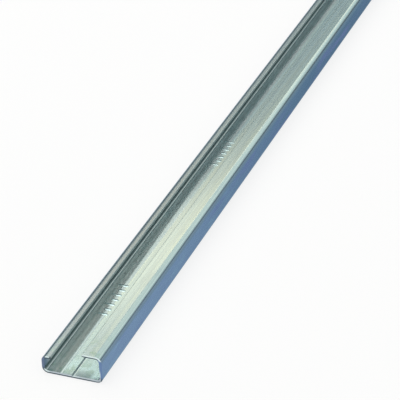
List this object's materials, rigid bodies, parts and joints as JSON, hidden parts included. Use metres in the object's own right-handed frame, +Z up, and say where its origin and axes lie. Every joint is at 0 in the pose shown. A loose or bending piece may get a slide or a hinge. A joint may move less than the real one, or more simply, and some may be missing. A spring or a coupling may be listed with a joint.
{
  "type": "mounting rail",
  "caption": "Length of asymmetric G-section steel mounting rail with one deep and one shallow inturned flange, for clipping on terminals and devices.",
  "frame": {"origin": "middle of the rail's length and width, on the underside of its web", "axes": "+Y along the rail, away from the end seen in the picture; +Z up from the web towards the lips; +X towards the deep flange with the wide lip"},
  "size_m": [0.032, 1, 0.015],
  "materials": {
    "zinc_plated_steel": "zinc plated, blue-bright passivated, satin with fine lengthwise rolling marks"
  },
  "bodies": {
    "root": {"g_rail": "zinc_plated_steel"}
  },
  "joints": []
}
